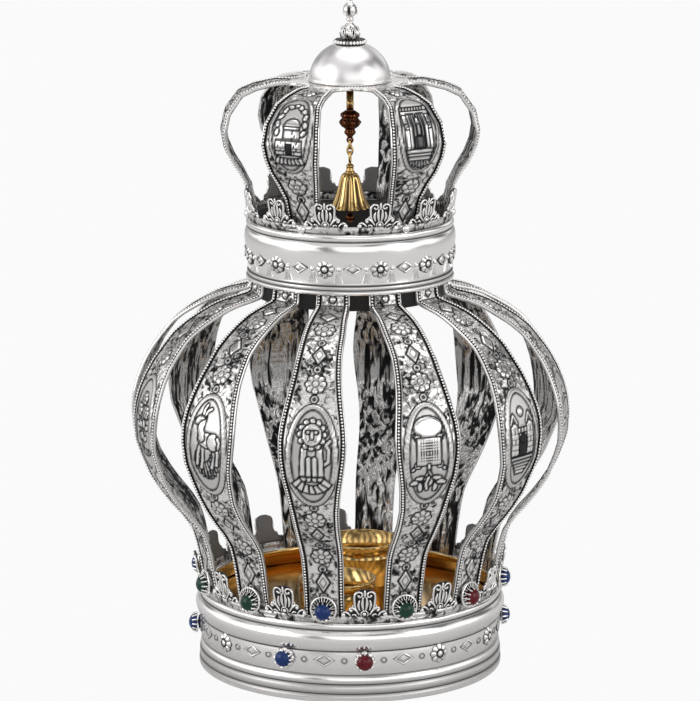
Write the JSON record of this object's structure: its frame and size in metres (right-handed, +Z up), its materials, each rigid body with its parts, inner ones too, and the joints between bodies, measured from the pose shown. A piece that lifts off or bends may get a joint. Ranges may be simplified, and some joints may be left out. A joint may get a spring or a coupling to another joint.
{
  "type": "torah crown",
  "caption": "Two-tiered openwork silver crown with bowed ribs, stone-set rings, a hanging gilt bell, a dome and a finial; it stands over the rollers of a scroll.",
  "frame": {"origin": "on the ground, on the axis of the crown, at the underside of the base ring", "axes": "+Z up along the axis; -Y is the front, where one rib, its blue stone and one roller sleeve stand"},
  "size_m": [0.2822, 0.2822, 0.433],
  "materials": {
    "polished_silver": "bright polished silver, a little soft from hand polishing",
    "chased_silver": "hammered and chased silver, black oxide left in the low places and the high places polished",
    "gilt": "warm polished gilding on silver",
    "dark_gilt": "gilding darkened in the hollows",
    "blue_stone": "polished opaque deep blue cabochon",
    "red_stone": "polished opaque dark red cabochon",
    "green_stone": "polished opaque dark green cabochon"
  },
  "bodies": {
    "root": {"base_ring": "polished_silver", "gilt_floor": "gilt", "roller_sleeve_front": "gilt", "roller_sleeve_rear": "gilt", "lower_cresting": "chased_silver", "lower_rib_01": "chased_silver", "foot_stone_01": "blue_stone", "lower_rib_02": "chased_silver", "foot_stone_02": "green_stone", "lower_rib_03": "chased_silver", "foot_stone_03": "red_stone", "lower_rib_04": "chased_silver", "foot_stone_04": "blue_stone", "lower_rib_05": "chased_silver", "foot_stone_05": "green_stone", "lower_rib_06": "chased_silver", "foot_stone_06": "red_stone", "lower_rib_07": "chased_silver", "foot_stone_07": "blue_stone", "lower_rib_08": "chased_silver", "foot_stone_08": "green_stone", "lower_rib_09": "chased_silver", "foot_stone_09": "red_stone", "lower_rib_10": "chased_silver", "foot_stone_10": "blue_stone", "lower_rib_11": "chased_silver", "foot_stone_11": "green_stone", "lower_rib_12": "chased_silver", "foot_stone_12": "green_stone", "band_stone_1": "red_stone", "band_stone_2": "blue_stone", "band_stone_3": "red_stone", "band_stone_4": "green_stone", "band_stone_5": "blue_stone", "band_stone_6": "blue_stone", "neck_ring": "polished_silver", "upper_cresting": "chased_silver", "upper_rib_1": "chased_silver", "upper_rib_2": "chased_silver", "upper_rib_3": "chased_silver", "upper_rib_4": "chased_silver", "upper_rib_5": "chased_silver", "upper_rib_6": "chased_silver", "dome": "polished_silver", "beaded_washer": "chased_silver", "leafy_finial": "chased_silver", "rod_nut": "dark_gilt", "bell_rod": "gilt", "rod_knop": "dark_gilt", "chain_link_upper": "gilt", "chain_link_lower": "gilt", "bell": "gilt", "bell_clapper": "dark_gilt"}
  },
  "joints": []
}
